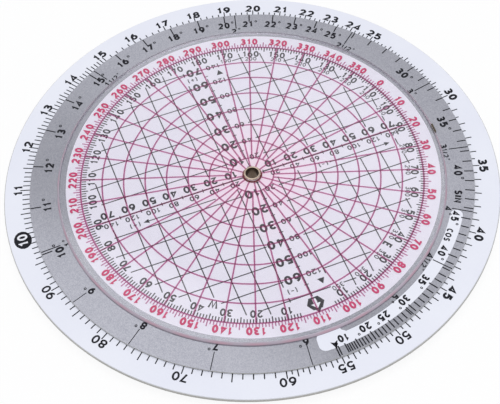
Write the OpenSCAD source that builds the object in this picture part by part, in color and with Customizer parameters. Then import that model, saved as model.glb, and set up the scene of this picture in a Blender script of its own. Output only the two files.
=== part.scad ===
// Circular slide rule for flight planning, lying with its wind side up.
// A white base disc is scaled on both faces. On the front a silver and white wind disc and a
// clear compass-rose disc turn over it; on the back a computing dial and a clear cursor turn.
// One hollow brass eyelet is the pivot of all of them and holds the stack together.
// The Z axis is the pivot. Z = 0 is the flat of the eyelet's set end, which the rule lies on.
// The index of the base disc's scale points along +Y.

/* [Base disc] */
// Diameter of the base disc
base_d = 152.4; // [130:0.1:180]
// Thickness of the base disc
base_t = 1.4; // [0.8:0.05:2]
// Bevel on the rim of the base disc
base_bevel = 0.3; // [0.05:0.01:0.35]
// Bevel that takes the sharpness off the rims of the wind disc and the computing dial
rim_bevel = 0.12; // [0.05:0.01:0.2]

/* [Wind side] */
// Width of the base disc's scale that shows outside the wind disc
front_scale_w = 7.9; // [5:0.1:10]
// Thickness of the wind disc
wind_t = 0.6; // [0.5:0.05:1.2]
// Width of the wind disc's silver scale that shows outside the rose disc
silver_scale_w = 8.5; // [6:0.1:12]
// Thickness of the clear rose disc
rose_t = 1.1; // [0.8:0.05:2.5]
// Width of the slope on the rim of the clear rose disc
rim_slope = 0.6; // [0.2:0.05:1]
// Height of the upright land at the foot of that slope
rim_land = 0.3; // [0.15:0.05:0.5]
// Room under the rose disc for the print on its underside
print_gap = 0.1; // [0.08:0.01:0.3]
// Width of the moulding gate's stub on that rim
gate_w = 3.0; // [1:0.1:4]
// How far the gate's stub stands out of the land
gate_proud = 0.1; // [0.05:0.01:0.5]
// Height of the gate's stub
gate_h = 0.75; // [0.55:0.05:0.8]
// Where the gate's stub lies, clockwise from +Y
gate_angle = 181.7; // [0:0.1:360]

/* [Computing side] */
// Width of the base disc's scale that shows outside the computing dial
back_scale_w = 9.0; // [6:0.1:12]
// Thickness of the computing dial
dial_t = 0.6; // [0.5:0.05:1.2]
// Width of the windows in the computing dial
window_w = 7.0; // [4:0.1:9]
// Distance from the dial's rim to the middle of the outer window
outer_window_inset = 22.0; // [16:0.5:24]
// Distance from the middle of the outer window to the middle of the inner one
window_pitch = 15.0; // [12:0.5:18]
// Arc of the outer window, measured between its round ends' centres
outer_window_arc = 58; // [20:1:90]
// Arc of the inner window, measured between its round ends' centres
inner_window_arc = 66; // [20:1:90]

/* [Cursor] */
// Width of the clear cursor bar
cursor_w = 20.0; // [12:0.5:30]
// Thickness of the cursor bar
cursor_t = 1.0; // [0.6:0.05:2]
// Diameter of the cursor's round middle
cursor_hub_d = 32.0; // [18:0.5:40]
// How far the cursor's ends stop inside the base disc's rim
cursor_inset = 1.2; // [0.5:0.1:5]
// Width of the hairline groove
hairline_w = 0.25; // [0.1:0.05:0.6]
// Depth of the hairline groove
hairline_deep = 0.1; // [0.05:0.01:0.2]
// Direction of the cursor's hairline, clockwise from +Y
cursor_angle = 70; // [0:1:180]

/* [Pivot] */
// Bore of the hollow eyelet
eyelet_bore_d = 3.9; // [3:0.1:6]
// Wall of the eyelet's brass tube
eyelet_wall = 0.25; // [0.15:0.01:0.3]
// Outer radius of the curl at both ends of the eyelet
curl_r = 0.34; // [0.31:0.01:0.8]
// Depth of the flat that the setting tool leaves on the curl at the back
set_flat = 0.08; // [0.02:0.01:0.15]
// Radial running clearance of the turning discs on the eyelet
turn_clear = 0.06; // [0.02:0.01:0.1]
// Radial clearance of the fixed pieces on the eyelet
seat_clear = 0.03; // [0.01:0.01:0.1]
// Axial running gap between a turning piece and its neighbour
play = 0.05; // [0.02:0.01:0.1]
// Diameter of the slip washers between the discs
slip_d = 12.0; // [8:0.5:16]
// Thickness of the slip washers
slip_t = 0.1; // [0.05:0.01:0.3]
// Diameter of the brass washer under the eyelet's set end
washer_d = 9.0; // [7:0.1:14]
// Thickness of that brass washer
washer_t = 0.4; // [0.2:0.05:1]
// Diameter of the dished spring washer
spring_d = 11.0; // [8:0.1:16]
// Thickness of the spring washer's sheet
spring_t = 0.2; // [0.1:0.01:0.4]
// Rise of the spring washer from its inner edge to its rim
spring_rise = 0.25; // [0.1:0.01:0.6]

/* [Hidden] */
$fn = 96;
// Overlap that lets a cut run past the faces it opens
past = 1;

// Radii of the discs, each one ring inside the next
base_r = base_d / 2;
wind_r = base_r - front_scale_w;
rose_r = wind_r - silver_scale_w;
dial_r = base_r - back_scale_w;
cursor_r = base_r - cursor_inset;
outer_window_r = dial_r - outer_window_inset;
inner_window_r = outer_window_r - window_pitch;

// Radii at the pivot
bore_r = eyelet_bore_d / 2;
barrel_r = bore_r + eyelet_wall;
curl_centre_r = bore_r + curl_r;
turn_hole_d = 2 * (barrel_r + turn_clear);
seat_hole_d = 2 * (barrel_r + seat_clear);

// Heights of the pieces from the back to the front
set_curl_z = curl_r - set_flat;
washer_z = set_curl_z;
spring_z = washer_z + washer_t;
cursor_z = spring_z + spring_rise + spring_t + play;
cursor_slip_z = cursor_z + cursor_t + play;
dial_z = cursor_slip_z + slip_t;
dial_slip_z = dial_z + dial_t + play;
base_z = dial_slip_z + slip_t;
wind_slip_z = base_z + base_t;
wind_z = wind_slip_z + slip_t + play;
rose_z = wind_z + wind_t + print_gap;
front_curl_z = rose_z + rose_t + play;

// Colours of the materials
white_plastic = [0.91, 0.92, 0.96];
silver_plastic = [0.64, 0.65, 0.69];
clear_plastic = [0.90, 0.92, 0.97, 0.35];
slip_film = [0.82, 0.80, 0.72];
brass = [0.80, 0.68, 0.42];
spring_bronze = [0.66, 0.48, 0.30];

// A flat ring with bevelled outer edges, standing on Z = 0
module flat_disc(d, t, hole_d, bevel) {
    rotate_extrude()
        polygon([
            [hole_d / 2, 0], [d / 2 - bevel, 0], [d / 2, bevel],
            [d / 2, t - bevel], [d / 2 - bevel, t], [hole_d / 2, t]
        ]);
}

// A thin washer with square edges, standing on Z = 0
module plain_washer(d, t, hole_d) {
    difference() {
        cylinder(d = d, h = t);
        translate([0, 0, -past])
            cylinder(d = hole_d, h = t + 2 * past);
    }
}

// The curved cut of one window: a band along an arc with round ends, centred on the direction
// `middle`, which is counted clockwise from +Y
module window_cut(r, arc, middle) {
    start = 90 - middle - arc / 2;
    translate([0, 0, -past]) {
        rotate([0, 0, start])
            rotate_extrude(angle = arc)
                translate([r - window_w / 2, 0])
                    square([window_w, dial_t + 2 * past]);
        for (end = [start, start + arc])
            rotate([0, 0, end])
                translate([r, 0, 0])
                    cylinder(d = window_w, h = dial_t + 2 * past);
    }
}

// Half of the tube wall's section at a curl, opening towards the barrel
module curl_section() {
    difference() {
        circle(r = curl_r);
        circle(r = curl_r - eyelet_wall);
        translate([-curl_r - past, -curl_r - past])
            square([2 * (curl_r + past), curl_r + past]);
    }
}

module base_disc() {
    color(white_plastic)
        translate([0, 0, base_z])
            flat_disc(base_d, base_t, seat_hole_d, base_bevel);
}

module wind_disc() {
    color(silver_plastic)
        translate([0, 0, wind_z])
            flat_disc(2 * wind_r, wind_t, turn_hole_d, rim_bevel);
}

// The rose disc is moulded: its rim slopes, and the stub of its gate is left on the slope
module rose_disc() {
    color(clear_plastic)
        translate([0, 0, rose_z]) {
            rotate_extrude()
                polygon([
                    [turn_hole_d / 2, 0], [rose_r, 0], [rose_r, rim_land],
                    [rose_r - rim_slope, rose_t], [turn_hole_d / 2, rose_t]
                ]);
            rotate([0, 0, -gate_angle])
                translate([-gate_w / 2, rose_r - past, 0])
                    cube([gate_w, past + gate_proud, gate_h]);
        }
}

module computing_dial() {
    color(white_plastic)
        translate([0, 0, dial_z])
            difference() {
                flat_disc(2 * dial_r, dial_t, turn_hole_d, rim_bevel);
                window_cut(outer_window_r, outer_window_arc, 180);
                window_cut(inner_window_r, inner_window_arc, 0);
            }
}

// A clear bar across the whole back, with its hairline cut in the face towards the dial
module cursor() {
    color(clear_plastic)
        translate([0, 0, cursor_z])
            rotate([0, 0, -cursor_angle])
                difference() {
                    intersection() {
                        union() {
                            translate([-cursor_w / 2, -base_r, 0])
                                cube([cursor_w, base_d, cursor_t]);
                            cylinder(d = cursor_hub_d, h = cursor_t);
                        }
                        cylinder(r = cursor_r, h = cursor_t);
                    }
                    translate([0, 0, -past])
                        cylinder(d = turn_hole_d, h = cursor_t + 2 * past);
                    translate([-hairline_w / 2, -base_r, cursor_t - hairline_deep])
                        cube([hairline_w, base_d, hairline_deep + past]);
                }
}

// A hollow brass tube, curled outwards over the rose disc and over the washer at the back
module hub_eyelet() {
    color(brass)
        difference() {
            rotate_extrude() {
                translate([bore_r, set_curl_z])
                    square([eyelet_wall, front_curl_z - set_curl_z]);
                translate([curl_centre_r, front_curl_z])
                    curl_section();
                translate([curl_centre_r, set_curl_z])
                    mirror([0, 1])
                        curl_section();
            }
            translate([0, 0, -curl_r - past])
                cylinder(r = curl_centre_r + curl_r + past, h = curl_r + past);
        }
}

module eyelet_washer() {
    color(brass)
        translate([0, 0, washer_z])
            plain_washer(washer_d, washer_t, seat_hole_d);
}

// A shallow cup: its inner edge stands on the washer and its rim presses towards the cursor
module spring_washer() {
    color(spring_bronze)
        translate([0, 0, spring_z])
            rotate_extrude()
                polygon([
                    [seat_hole_d / 2, 0], [spring_d / 2, spring_rise],
                    [spring_d / 2, spring_rise + spring_t], [seat_hole_d / 2, spring_t]
                ]);
}

module wind_slip_washer() {
    color(slip_film)
        translate([0, 0, wind_slip_z])
            plain_washer(slip_d, slip_t, seat_hole_d);
}

module dial_slip_washer() {
    color(slip_film)
        translate([0, 0, dial_slip_z])
            plain_washer(slip_d, slip_t, seat_hole_d);
}

module cursor_slip_washer() {
    color(slip_film)
        translate([0, 0, cursor_slip_z])
            plain_washer(slip_d, slip_t, turn_hole_d);
}

base_disc();
wind_disc();
rose_disc();
computing_dial();
cursor();
hub_eyelet();
eyelet_washer();
spring_washer();
wind_slip_washer();
dial_slip_washer();
cursor_slip_washer();
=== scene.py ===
# %% [markdown]
# # A circular slide rule
# The object is a round, double-sided slide rule for flight planning: a stack of thin discs on one hollow
# brass eyelet. Its solids are fixed by the CAD model. What is left to make is its look, and that is nearly
# all print: a logarithmic scale, sine and cosine scales, a compass, a square grid and a red rose.
# A printer lays such scales down by silk screen, one ink at a time, as a thin film. This lesson does the
# same: each tick, ring and numeral is a very thin closed slab of ink on the disc that carries it, so that
# it turns with it. First the CAD model is loaded as the fixed frame. Its meshes are never changed here.

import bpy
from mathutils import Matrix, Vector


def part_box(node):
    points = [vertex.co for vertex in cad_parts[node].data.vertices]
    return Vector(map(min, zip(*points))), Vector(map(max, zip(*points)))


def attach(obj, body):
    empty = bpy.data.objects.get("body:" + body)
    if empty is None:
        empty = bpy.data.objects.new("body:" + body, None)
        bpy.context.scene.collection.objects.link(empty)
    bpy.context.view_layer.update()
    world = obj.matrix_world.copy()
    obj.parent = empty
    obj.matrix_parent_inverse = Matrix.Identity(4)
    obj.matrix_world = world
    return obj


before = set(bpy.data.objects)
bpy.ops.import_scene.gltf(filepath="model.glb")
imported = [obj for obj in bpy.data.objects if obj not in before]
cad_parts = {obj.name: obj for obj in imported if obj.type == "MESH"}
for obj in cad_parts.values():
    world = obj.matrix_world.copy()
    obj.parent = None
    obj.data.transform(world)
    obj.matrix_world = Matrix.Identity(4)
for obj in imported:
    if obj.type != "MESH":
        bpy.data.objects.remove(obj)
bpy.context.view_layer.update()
print("CAD nodes:", ", ".join(sorted(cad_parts)))

# %% [markdown]
# Print needs to know the faces it lies on. They are measured on the frame, in millimetres, because all the
# small sizes of the scales are easier to read in that unit. Every disc is round about the Z axis, so the
# highest X is its radius.

# %% Measure the discs
import math

import bmesh
import bpy
from mathutils import Matrix, Vector
from mathutils.geometry import delaunay_2d_cdt

MM = 0.001


def disc_faces(node):
    """Radius, back face and front face of a disc, in millimetres."""
    low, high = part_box(node)
    return high.x / MM, low.z / MM, high.z / MM


base_r, base_back, base_front = disc_faces("base_disc")
wind_r, _, wind_front = disc_faces("wind_disc")
rose_r, rose_back, rose_front = disc_faces("rose_disc")
dial_r, dial_back, _ = disc_faces("computing_dial")
print(f"base radius {base_r:.1f}, wind disc {wind_r:.1f}, rose {rose_r:.1f}, dial {dial_r:.1f} mm")

# %% [markdown]
# The scales follow three laws. A number n sits at 360 degrees times the logarithm of n/10, so one turn is
# one decade. The wind disc's sine and cosine scales use the same logarithm of a sine or cosine, counted from
# its index arrow. All angles here run clockwise from the base disc's index, which points along +Y.
# At rest the index arrow stands just past 55 on the base scale, and 110 of the red rose lies by the wind
# pointer.

# %% Laws of the scales and how the rule is set
index_reading, rose_reading = 55.212, 110.135


def log_turn(value):
    """Clockwise angle of a value on a scale of one decade whose start is 10."""
    return 360 * math.log10(value / 10)


def sine_turn(angle):
    """Clockwise angle of a sine mark, from the index arrow."""
    return 360 * math.log10(math.sin(math.radians(angle)))


def cosine_turn(angle):
    """Clockwise angle of a cosine mark, from the index arrow."""
    return 360 * math.log10(math.cos(math.radians(angle)))


def around(turn, radius):
    """The point at a clockwise angle and a radius."""
    return radius * math.sin(math.radians(turn)), radius * math.cos(math.radians(turn))


wind_turn = log_turn(index_reading)
rose_turn = wind_turn - rose_reading
print(f"wind pointer at {wind_turn:.1f} degrees, rose zero at {rose_turn:.1f} degrees")

# %% [markdown]
# ## Finishes
# A surface that is one flat colour looks like plastic in a game. Real sheet, ink and metal vary a little
# everywhere. Shared variation is made once, as shader node groups that give out masks and tones, and each
# material mixes its own colours with them. Groups read the Object coordinates that the material hands to
# them, so the pattern sticks to the piece when it turns.
# Node trees are long when every link is a line of its own. So a few helpers add a node and feed its inputs:
# a socket is linked, and a plain number, vector or colour is set on the input itself.

# %% Helpers for node trees


def feed(tree, socket, value):
    """Links an input to a source socket, or sets a plain value on it."""
    if isinstance(value, bpy.types.NodeSocket):
        tree.links.new(value, socket)
    else:
        socket.default_value = value


def add_node(tree, kind, inputs=None, **settings):
    """A new node with its settings made, and its inputs fed by name or number."""
    node = tree.nodes.new(kind)
    for label, value in settings.items():
        setattr(node, label, value)
    for label, value in (inputs or {}).items():
        feed(tree, node.inputs[label], value)
    return node


def calculate(tree, operation, first, second):
    """The result of a Math node on two sockets or numbers."""
    return add_node(tree, "ShaderNodeMath", {0: first, 1: second}, operation=operation).outputs["Value"]


def remap(tree, value, low, high):
    """Stretches a value so that low to high becomes 0 to 1, and clamps it."""
    span = {"Value": value, "From Min": low, "From Max": high}
    return add_node(tree, "ShaderNodeMapRange", span).outputs["Result"]


# %% [markdown]
# A shader group is made with its sockets first: a vector for the place on the piece, named sizes, and the
# masks or tones that it gives out. Its nodes follow, and link the one side to the other.

# %% Helper for shader node groups


def shader_group(name, inputs, outputs):
    """A node group that takes a vector and the named values, with its source and target sockets."""
    tree = bpy.data.node_groups.new(name, "ShaderNodeTree")
    tree.interface.new_socket("Vector", in_out="INPUT", socket_type="NodeSocketVector")
    for label in inputs:
        tree.interface.new_socket(label, in_out="INPUT", socket_type="NodeSocketFloat")
    for label in outputs:
        tree.interface.new_socket(label, in_out="OUTPUT", socket_type="NodeSocketFloat")
    return tree, tree.nodes.new("NodeGroupInput").outputs, tree.nodes.new("NodeGroupOutput").inputs


# %% [markdown]
# The first group is soft mottling: wide clouds for uneven colour and a fine grain for the satin of pressed
# sheet. Both are the same noise at two scales.

# %% Mottle group
layers = ["Cloud", "Grain"]
noise_low, noise_high = 0.3, 0.7
mottle, mottle_in, mottle_out = shader_group("soft_mottle", [layer + " Scale" for layer in layers], layers)
for layer in layers:
    noise_inputs = {"Vector": mottle_in["Vector"], "Scale": mottle_in[layer + " Scale"], "Detail": 3}
    noise = add_node(mottle, "ShaderNodeTexNoise", noise_inputs)
    feed(mottle, mottle_out[layer], remap(mottle, noise.outputs["Fac"], noise_low, noise_high))
print("group:", mottle.name)

# %% [markdown]
# The second group finds a ring of a disc: it is 1 at and beyond a radius and fades to 0 over a width inside
# it. The white discs use it to paint their cut edges darker grey than their faces, as painted shade.

# %% Rim group
rim, rim_in, rim_out = shader_group("rim_mask", ["Radius", "Width"], ["Mask"])
flat = add_node(rim, "ShaderNodeVectorMath", {0: rim_in["Vector"], 1: (1, 1, 0)}, operation="MULTIPLY")
from_axis = add_node(rim, "ShaderNodeVectorMath", {0: flat.outputs["Vector"]}, operation="LENGTH")
fade_start = calculate(rim, "SUBTRACT", rim_in["Radius"], rim_in["Width"])
feed(rim, rim_out["Mask"], remap(rim, from_axis.outputs["Value"], fade_start, rim_in["Radius"]))
print("group:", rim.name)

# %% [markdown]
# The third group is the sparkle of silver ink. Its pigment is tiny flakes that lie at different tilts, so
# each shows its own grey. Voronoi cells give every flake one random tone.

# %% Flake group
flake, flake_in, flake_out = shader_group("silver_flake", ["Scale"], ["Tone"])
cell_inputs = {"Vector": flake_in["Vector"], "Scale": flake_in["Scale"]}
cells = add_node(flake, "ShaderNodeTexVoronoi", cell_inputs)
tilt = add_node(flake, "ShaderNodeSeparateColor", {"Color": cells.outputs["Color"]})
feed(flake, flake_out["Tone"], tilt.outputs["Red"])
print("group:", flake.name)

# %% [markdown]
# Colours are written as they are seen, in sRGB from 0 to 255, and turned into the linear values that Blender
# wants. A Mix node has inputs for several kinds of data, so its colours are reached by number.

# %% Colours and masks in a material


def colour(red, green, blue):
    """Linear colour of an sRGB one."""
    channels = [part / 255 for part in (red, green, blue)]
    linear = [((c + 0.055) / 1.055) ** 2.4 if c > 0.04045 else c / 12.92 for c in channels]
    return (*linear, 1)


def mix_colours(tree, factor, first, second):
    """A mix of two colours; each is a value or a socket."""
    node = add_node(tree, "ShaderNodeMix", {"Factor": factor, 6: first, 7: second}, data_type="RGBA")
    return node.outputs[2]


def use_group(tree, group, sizes):
    """The outputs of a group that is fed with Object coordinates and its sizes."""
    place = add_node(tree, "ShaderNodeTexCoord").outputs["Object"]
    return add_node(tree, "ShaderNodeGroup", {"Vector": place, **sizes}, node_tree=group).outputs


def rim_mask(tree, radius, width):
    """The mask of the rim group for sizes in millimetres."""
    return use_group(tree, rim, {"Radius": radius * MM, "Width": width * MM})["Mask"]


# %% [markdown]
# One function makes the common base of all finishes: two close colours mixed by the clouds, and a roughness
# that varies with the grain. Pressed sheet and rolled metal also get a faint relief from the grain.

# %% Common finish
relief_depth = 0.02 * MM


def finish(name, pale, deep, roughness, cloud=60, grain=2500, relief=0.0):
    """A mottled material. Returns it, its Principled node and its colour socket."""
    material = bpy.data.materials.new(name)
    material.use_nodes = True
    tree = material.node_tree
    shader = tree.nodes["Principled BSDF"]
    spots = use_group(tree, mottle, {"Cloud Scale": cloud, "Grain Scale": grain})
    tone = mix_colours(tree, spots["Cloud"], colour(*pale), colour(*deep))
    feed(tree, shader.inputs["Base Color"], tone)
    sheen = {"Value": spots["Grain"], "To Min": roughness[0], "To Max": roughness[1]}
    feed(tree, shader.inputs["Roughness"], add_node(tree, "ShaderNodeMapRange", sheen).outputs["Result"])
    if relief:
        dents = {"Height": spots["Grain"], "Distance": relief_depth, "Strength": relief}
        feed(tree, shader.inputs["Normal"], add_node(tree, "ShaderNodeBump", dents).outputs["Normal"])
    return material, shader, tone


def paint(material, tone):
    """Gives a finish another colour in place of its own."""
    feed(material.node_tree, material.node_tree.nodes["Principled BSDF"].inputs["Base Color"], tone)


# %% [markdown]
# The discs are white vinyl sheet with a faint cool cast. The same sheet serves for the base disc, the wind
# disc and the dial; only the radius and the bevel of the cut edge differ. The cut edge and its bevel are
# painted darker grey: painted shade. The wind disc's middle lies under the clear disc and is painted pinker,
# most of all near the pivot: painted pink light, standing for light that the red rose tints on its way down.

# %% White sheet
base_bevel, rim_bevel, edge_shade_margin = 0.3, 0.12, 0.03
middle_r, middle_fade = 58.5, 0.5
pink_r, pink_fade = 28, 22


def white_sheet(name, radius, bevel, under_rose=False):
    """White vinyl with painted shade on its cut edge, and whose middle may get painted pink light."""
    tones = (236, 238, 247), (231, 233, 244)
    material, _, tone = finish(name, *tones, (0.34, 0.46), cloud=45, relief=0.15)
    tree = material.node_tree
    if under_rose:
        # Painted pink light in the middle, for light that the red rose above tints.
        spread = rim_mask(tree, pink_r, pink_fade)
        pink_light = mix_colours(tree, spread, colour(244, 222, 238), colour(232, 228, 241))
        tone = mix_colours(tree, rim_mask(tree, middle_r, middle_fade), pink_light, tone)
    # Painted shade: the cut edge is darker grey.
    edge = rim_mask(tree, radius - edge_shade_margin, bevel)
    paint(material, mix_colours(tree, edge, tone, colour(168, 167, 162)))
    return material


sheet_finishes = {
    "base_disc": white_sheet("sheet_base_disc", base_r, base_bevel),
    "wind_disc": white_sheet("sheet_wind_disc", wind_r, rim_bevel, under_rose=True),
    "computing_dial": white_sheet("sheet_computing_dial", dial_r, rim_bevel),
}
print("white sheets:", ", ".join(sheet_finishes))

# %% [markdown]
# Silver ink is grey with flakes in it. It is partly metallic, so it brightens towards the light.

# %% Silver ink
silver_ink, silver_shader, silver_tone = finish(
    "silver_ink", (178, 179, 190), (171, 172, 184), (0.12, 0.18), cloud=90, grain=5000
)
silver_shader.inputs["Metallic"].default_value = 0.7
sparkle = use_group(silver_ink.node_tree, flake, {"Scale": 4200})["Tone"]
paint(silver_ink, mix_colours(silver_ink.node_tree, sparkle, silver_tone, colour(199, 200, 210)))
print("ink:", silver_ink.name)

# %% [markdown]
# Black ink is a dense screen ink, slightly uneven where the film is thinner. On the wind disc the film is
# thinner all over the middle, and looks a little grey there.

# %% Black inks


def black(name):
    """Black screen ink, with its colour socket."""
    ink, shader, tone = finish(name, (22, 23, 29), (32, 33, 40), (0.45, 0.6), cloud=300)
    shader.inputs["Specular IOR Level"].default_value = 0.2
    return ink, tone


black_ink, _ = black("black_ink")
wind_ink, wind_tone = black("wind_ink")
outer_print = rim_mask(wind_ink.node_tree, middle_r, middle_fade)
paint(wind_ink, mix_colours(wind_ink.node_tree, outer_print, colour(54, 52, 58), wind_tone))
print("inks:", black_ink.name, wind_ink.name)

# %% [markdown]
# The red of fine lines is a thinner film than that of the numerals, and looks paler and cooler. It filters
# the light more than it covers, so black print below a red line stays black. White ink is dense, because it
# has to cover the black of a badge.

# %% Red and white inks
line_tint, line_filter_share = (0.91, 0.69, 0.82, 1), 0.8


def mix_shaders(tree, factor, first, second):
    """A mix of two shader sockets."""
    node = add_node(tree, "ShaderNodeMixShader", {"Fac": factor, 1: first, 2: second})
    return node.outputs["Shader"]


def use_surface(tree, surface, output="Material Output"):
    """Puts a shader socket on the output of a material or world."""
    feed(tree, tree.nodes[output].inputs["Surface"], surface)


red_ink, _, _ = finish("red_ink", (192, 50, 100), (200, 66, 114), (0.4, 0.5), cloud=300)
red_line_ink, line_shader, _ = finish("red_line_ink", (186, 94, 138), (192, 106, 148), (0.4, 0.5), cloud=300)
line_tree = red_line_ink.node_tree
line_filter = add_node(line_tree, "ShaderNodeBsdfTransparent", {"Color": line_tint}).outputs["BSDF"]
use_surface(line_tree, mix_shaders(line_tree, line_filter_share, line_shader.outputs["BSDF"], line_filter))
white_ink, _, _ = finish("white_ink", (238, 239, 245), (230, 231, 240), (0.4, 0.5), cloud=300)
print("inks:", red_ink.name, red_line_ink.name, white_ink.name)

# %% [markdown]
# The rose disc and the cursor are clear acrylic. Light that passes through a window to the print below would
# be lost in a plain glass material, so for shadow and diffuse rays the material is simply transparent.
# Camera and mirror rays still see real refraction. Fine handling scratches are left as a roughness that
# varies with the grain.

# %% Clear acrylic
clear_tint, acrylic_ior = (0.99, 0.99, 0.99, 1), 1.49


def pass_light(material, shader, mirror_share=None):
    """Lets shadow and diffuse rays through a material, and a share of the mirror rays if one is given."""
    tree = material.node_tree
    see_through = add_node(tree, "ShaderNodeBsdfTransparent", {"Color": clear_tint}).outputs["BSDF"]
    rays = add_node(tree, "ShaderNodeLightPath").outputs
    freed = [rays["Is Diffuse Ray"], rays["Is Shadow Ray"]]
    if mirror_share is not None:
        freed.append(calculate(tree, "MULTIPLY", rays["Is Glossy Ray"], mirror_share))
    surface = shader.outputs["BSDF"]
    for kind in freed:
        surface = mix_shaders(tree, kind, surface, see_through)
    use_surface(tree, surface)


clear, clear_shader, _ = finish(
    "clear_acrylic", (255, 255, 255), (253, 253, 254), (0.0, 0.03), cloud=40, grain=900
)
clear_shader.inputs["Transmission Weight"].default_value = 1
clear_shader.inputs["IOR"].default_value = acrylic_ior
pass_light(clear, clear_shader)
print("clear material:", clear.name)

# %% [markdown]
# The eyelet is rolled from thin brass tube. Its curls are polished by the setting tool and by thumbs; the
# bore is painted dark brown by a mask by radius: painted shade of the deep, narrow hole. The dished spring
# washer is dull bronze, and the slip washers are milky film.

# %% Metals and film
polished_r, polished_fade = 2.1, 0.12


def metal(name, pale, deep, roughness):
    """A mottled metal, with its colour socket."""
    material, shader, tone = finish(name, pale, deep, roughness, cloud=700, grain=6000, relief=0.1)
    shader.inputs["Metallic"].default_value = 1
    return material, tone


brass, brass_tone = metal("rolled_brass", (232, 214, 198), (214, 193, 172), (0.16, 0.28))
# The bore inside the polished curls is painted dark brown: painted shade.
polished = rim_mask(brass.node_tree, polished_r, polished_fade)
paint(brass, mix_colours(brass.node_tree, polished, colour(96, 82, 70), brass_tone))
bronze, _ = metal("spring_bronze", (178, 140, 98), (150, 114, 80), (0.35, 0.5))
film, _, _ = finish("slip_film", (222, 218, 205), (212, 208, 196), (0.3, 0.45), cloud=400)
print("metals and film:", brass.name, bronze.name, film.name)

# %% [markdown]
# The CAD pieces keep their meshes. Each only swaps its plain CAD material for its finish.

# %% Finishes of the CAD pieces
node_finishes = {
    **sheet_finishes,
    "rose_disc": clear,
    "cursor": clear,
    "hub_eyelet": brass,
    "eyelet_washer": brass,
    "spring_washer": bronze,
    "wind_slip_washer": film,
    "dial_slip_washer": film,
    "cursor_slip_washer": film,
}
for node, material in node_finishes.items():
    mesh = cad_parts[node].data
    mesh.materials.clear()
    mesh.materials.append(material)
print("finished CAD nodes:", len(node_finishes))

# %% [markdown]
# ## Numerals
# A scale printer's numerals are drawn as strokes of one width. A font file isn't read here, and strokes are
# easy to thicken for bold figures, so each glyph is a few lines and arcs in a unit box, with the width that
# the box gets. The strokes are widened into quads, and Delaunay triangulation joins the overlapping quads
# into one flat shape.

# %% Strokes of the glyphs
arc_step = 22


def arc(x, y, half_w, half_h, start, end):
    """Points along part of an ellipse, about one step of angle apart."""
    steps = max(2, round(abs(end - start) / arc_step))
    turns = [math.radians(start + (end - start) * k / steps) for k in range(steps + 1)]
    return [(x + half_w * math.cos(t), y + half_h * math.sin(t)) for t in turns]


def turned(strokes):
    """The strokes turned by half a turn in their box."""
    return [[(1 - x, 1 - y) for x, y in line] for line in strokes]


six = [arc(0.5, 0.315, 0.5, 0.315, 0, 360), arc(0.93, 0.33, 0.93, 0.67, 180, 100)]
three_top = arc(0.47, 0.755, 0.43, 0.245, 150, -90) + [(0.28, 0.51)]
letter_s = [arc(0.5, 0.755, 0.45, 0.245, 25, 270) + arc(0.5, 0.255, 0.5, 0.255, 90, -155)[1:]]
GLYPHS = {
    "0": (0.70, [arc(0.5, 0.5, 0.5, 0.5, 0, 360)]),
    "1": (0.52, [[(0.05, 0.74), (0.66, 1), (0.66, 0)]]),
    "2": (0.70, [arc(0.5, 0.70, 0.47, 0.30, 165, -47) + [(0, 0), (1, 0)]]),
    "3": (0.70, [three_top, arc(0.47, 0.255, 0.53, 0.255, 90, -150)]),
    "4": (0.78, [[(0.7, 0), (0.7, 1), (0, 0.24), (1, 0.24)]]),
    "5": (0.70, [[(0.92, 1), (0.16, 1), (0.08, 0.56)] + arc(0.46, 0.325, 0.54, 0.325, 135, -150)]),
    "6": (0.70, six),
    "7": (0.70, [[(0, 1), (1, 1), (0.30, 0)]]),
    "8": (0.70, [arc(0.5, 0.755, 0.43, 0.245, 0, 360), arc(0.5, 0.265, 0.5, 0.265, 0, 360)]),
    "9": (0.70, turned(six)),
    "°": (0.33, [arc(0.5, 0.957, 0.5, 0.138, 0, 360)]),
    "/": (0.42, [[(0, 0), (1, 1)]]),
    "E": (0.58, [[(1, 1), (0, 1), (0, 0), (1, 0)], [(0, 0.52), (0.85, 0.52)]]),
    "W": (1.0, [[(0, 1), (0.24, 0), (0.5, 0.9), (0.76, 0), (1, 1)]]),
    "S": (0.62, letter_s),
    "I": (0.18, [[(0.5, 0), (0.5, 1)]]),
    "N": (0.7, [[(0, 0), (0, 1), (1, 0), (1, 1)]]),
    "C": (0.72, [arc(0.55, 0.5, 0.55, 0.5, 45, 315)]),
    "O": (0.82, [arc(0.5, 0.5, 0.5, 0.5, 0, 360)]),
    "+": (0.62, [[(0, 0.5), (1, 0.5)], [(0.5, 0.16), (0.5, 0.84)]]),
    "-": (0.5, [[(0, 0.5), (1, 0.5)]]),
    "(": (0.3, [arc(1.1, 0.5, 1.0, 0.62, 125, 235)]),
    ")": (0.3, [arc(-0.1, 0.5, 1.0, 0.62, 55, -55)]),
}
print("glyphs:", len(GLYPHS))

# %% [markdown]
# A stroke is widened to both sides of its line. At a bend the two sides meet on the bisector, and a sharp
# bend is kept from growing a spike.

# %% Thicken strokes into flat shapes
TINY, MERGE_GAP, SPIKE_LIMIT = 1e-6, 1e-5, 1.7


def side_steps(line, half):
    """For each point of a line, the step to its left side."""
    closed = math.dist(line[0], line[-1]) < TINY
    ways = []
    for (x0, y0), (x1, y1) in zip(line, line[1:]):
        size = math.hypot(x1 - x0, y1 - y0)
        ways.append((-(y1 - y0) / size, (x1 - x0) / size))
    steps = []
    for k in range(len(line)):
        before = ways[k - 1] if k or closed else ways[0]
        after = ways[k] if k < len(ways) else (ways[0] if closed else ways[-1])
        x, y = before[0] + after[0], before[1] + after[1]
        size = max(TINY, math.hypot(x, y))
        reach = min(SPIKE_LIMIT, 2 / size)
        steps.append((x / size * half * reach, y / size * half * reach))
    return steps


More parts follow.
